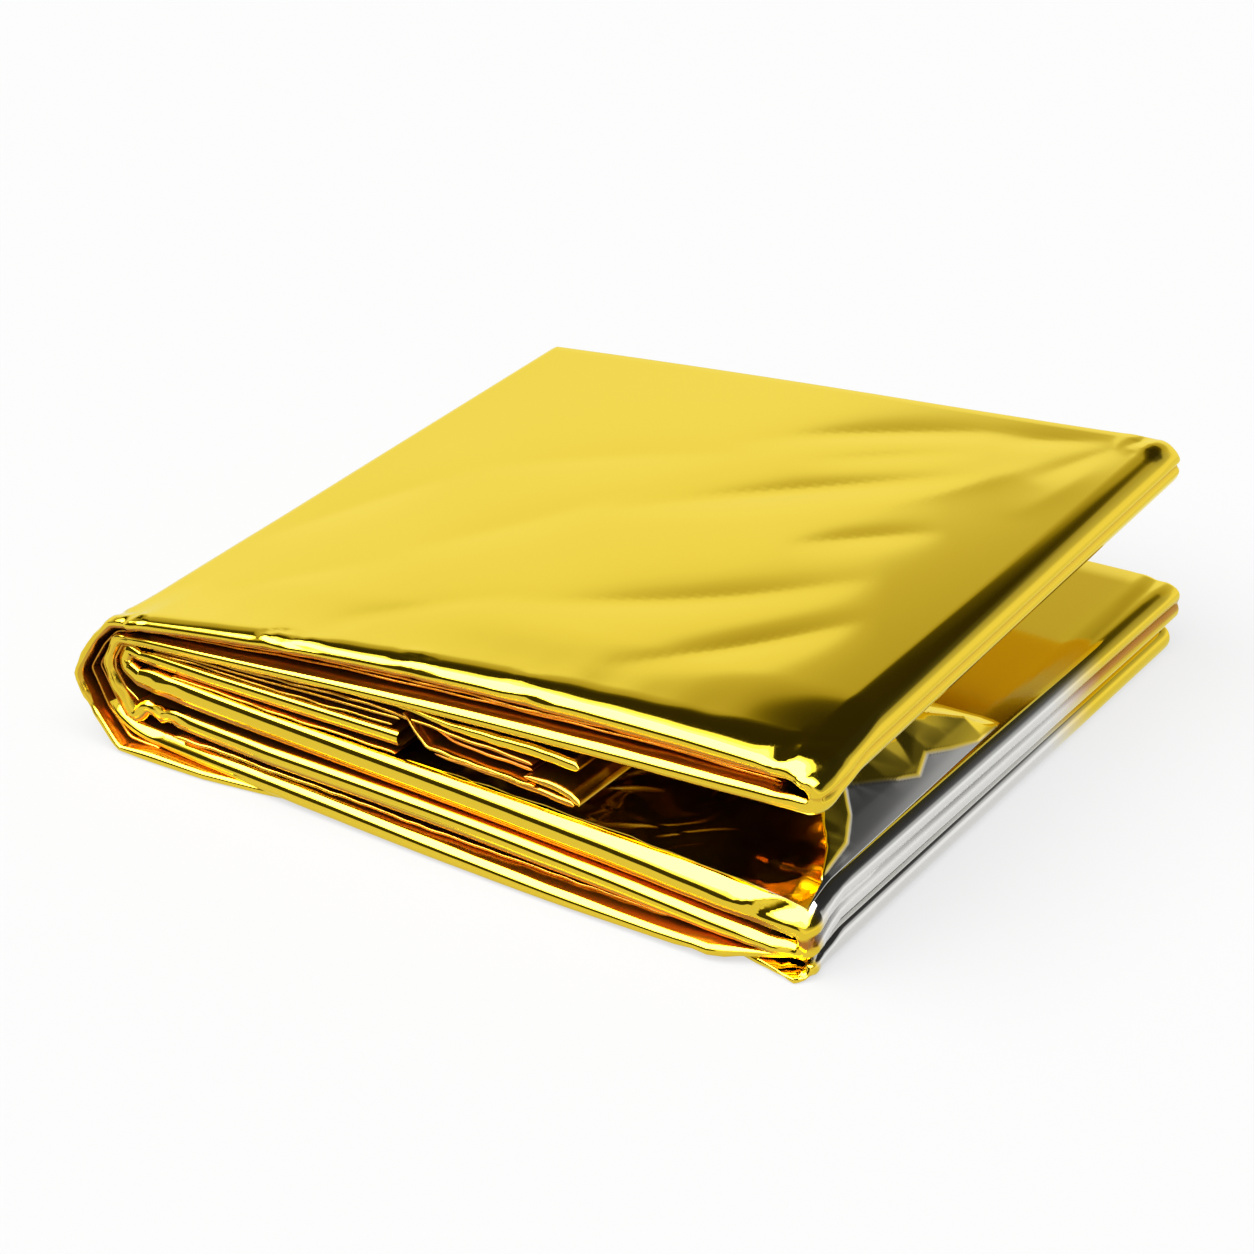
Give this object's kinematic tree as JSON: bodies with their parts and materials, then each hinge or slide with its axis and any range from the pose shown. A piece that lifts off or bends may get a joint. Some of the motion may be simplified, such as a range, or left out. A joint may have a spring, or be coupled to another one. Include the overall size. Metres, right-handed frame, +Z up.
{
  "type": "emergency foil blanket",
  "caption": "Metallised film rescue blanket folded flat into a soft square packet, its layers folded back and forth and its upper wing lifting off the lower one.",
  "frame": {"origin": "centre of the bounding box's bottom face, on the surface that the packet rests on", "axes": "+Z up; +X from the spine folds towards the open side; -Y towards the front folds"},
  "size_m": [0.214, 0.1962, 0.0586],
  "materials": {
    "gold_film": "thin metallised polyester film, gold and mirror bright on one face, silver on the other"
  },
  "bodies": {
    "root": {"foil_blanket": "gold_film"}
  },
  "joints": []
}
